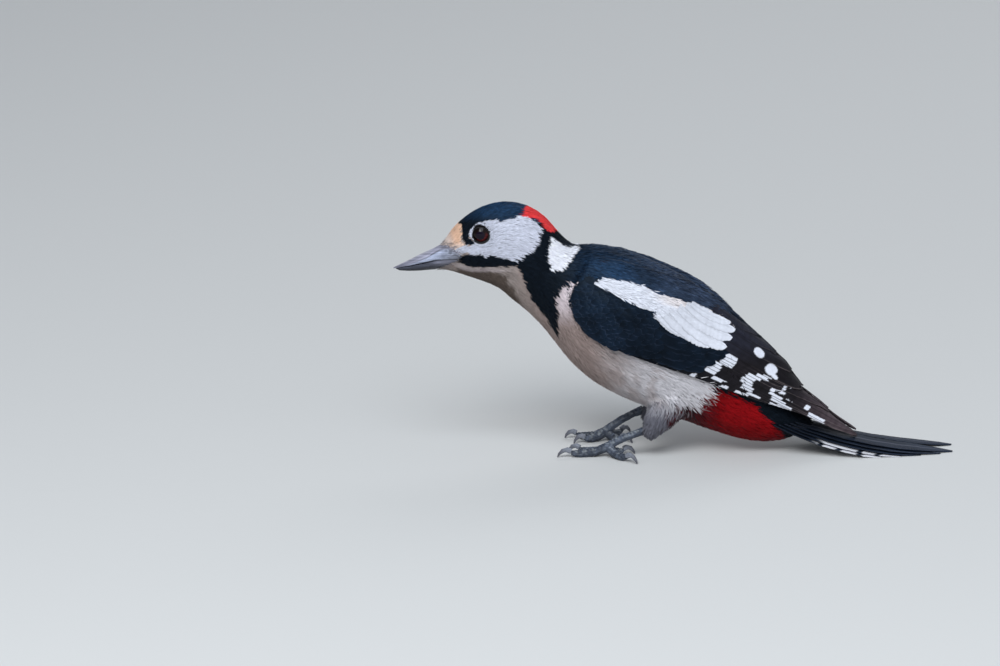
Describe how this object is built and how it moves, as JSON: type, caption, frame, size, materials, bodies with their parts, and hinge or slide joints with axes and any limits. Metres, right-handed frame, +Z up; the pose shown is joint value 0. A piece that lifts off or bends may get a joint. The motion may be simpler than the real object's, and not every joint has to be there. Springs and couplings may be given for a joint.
{
  "type": "great spotted woodpecker",
  "caption": "Life-size male great spotted woodpecker standing and leaning forward, with closed bill, folded wings and a stiff tail resting on the surface it stands on.",
  "frame": {"origin": "on the surface that the bird stands on, under the middle of its bounding box", "axes": "+Z up, bill towards -X, the bird's left side towards -Y"},
  "size_m": [0.2278, 0.0486, 0.104],
  "materials": {
    "head_plumage": "short soft feathers: black crown, white cheek, buff forehead, red nape, black moustache",
    "neck_plumage": "soft blue-black feathers with a white patch on each side and a buff-white throat",
    "body_plumage": "loose buff-white breast and belly feathers, blue-black back, crimson vent",
    "thigh_plumage": "loose pale grey-buff feathers",
    "wing_plumage": "smooth black wing feathers with a white shoulder patch and rows of white spots",
    "tail_black": "stiff black tail feathers with a blue-grey sheen and glossy shafts",
    "tail_barred": "white tail feathers barred with black",
    "bill": "slate-grey horn with a satin sheen, paler along the upper side",
    "leg_scale": "blue-grey scaled skin",
    "claw": "grey horn, paler on the curve",
    "eye": "wet dark red-brown iris with a black pupil"
  },
  "bodies": {
    "root": {"head": "head_plumage", "neck": "neck_plumage", "trunk": "body_plumage", "eye_left": "eye", "eye_right": "eye", "bill_upper": "bill", "bill_lower": "bill", "wing_coverts_left": "wing_plumage", "wing_coverts_right": "wing_plumage", "wing_secondaries_left": "wing_plumage", "wing_secondaries_right": "wing_plumage", "wing_primaries_left": "wing_plumage", "wing_primaries_right": "wing_plumage", "tail_feather_1_left": "tail_black", "tail_feather_1_right": "tail_black", "tail_feather_2_left": "tail_black", "tail_feather_2_right": "tail_black", "tail_feather_3_left": "tail_black", "tail_feather_3_right": "tail_black", "tail_feather_4_left": "tail_barred", "tail_feather_4_right": "tail_barred", "tail_feather_5_left": "tail_barred", "tail_feather_5_right": "tail_barred", "thigh_left": "thigh_plumage", "thigh_right": "thigh_plumage", "foot_left": "leg_scale", "foot_right": "leg_scale", "claw_front_left": "claw", "claw_front_right": "claw", "claw_inner_left": "claw", "claw_inner_right": "claw", "claw_outer_left": "claw", "claw_outer_right": "claw", "claw_hind_left": "claw", "claw_hind_right": "claw"}
  },
  "joints": []
}
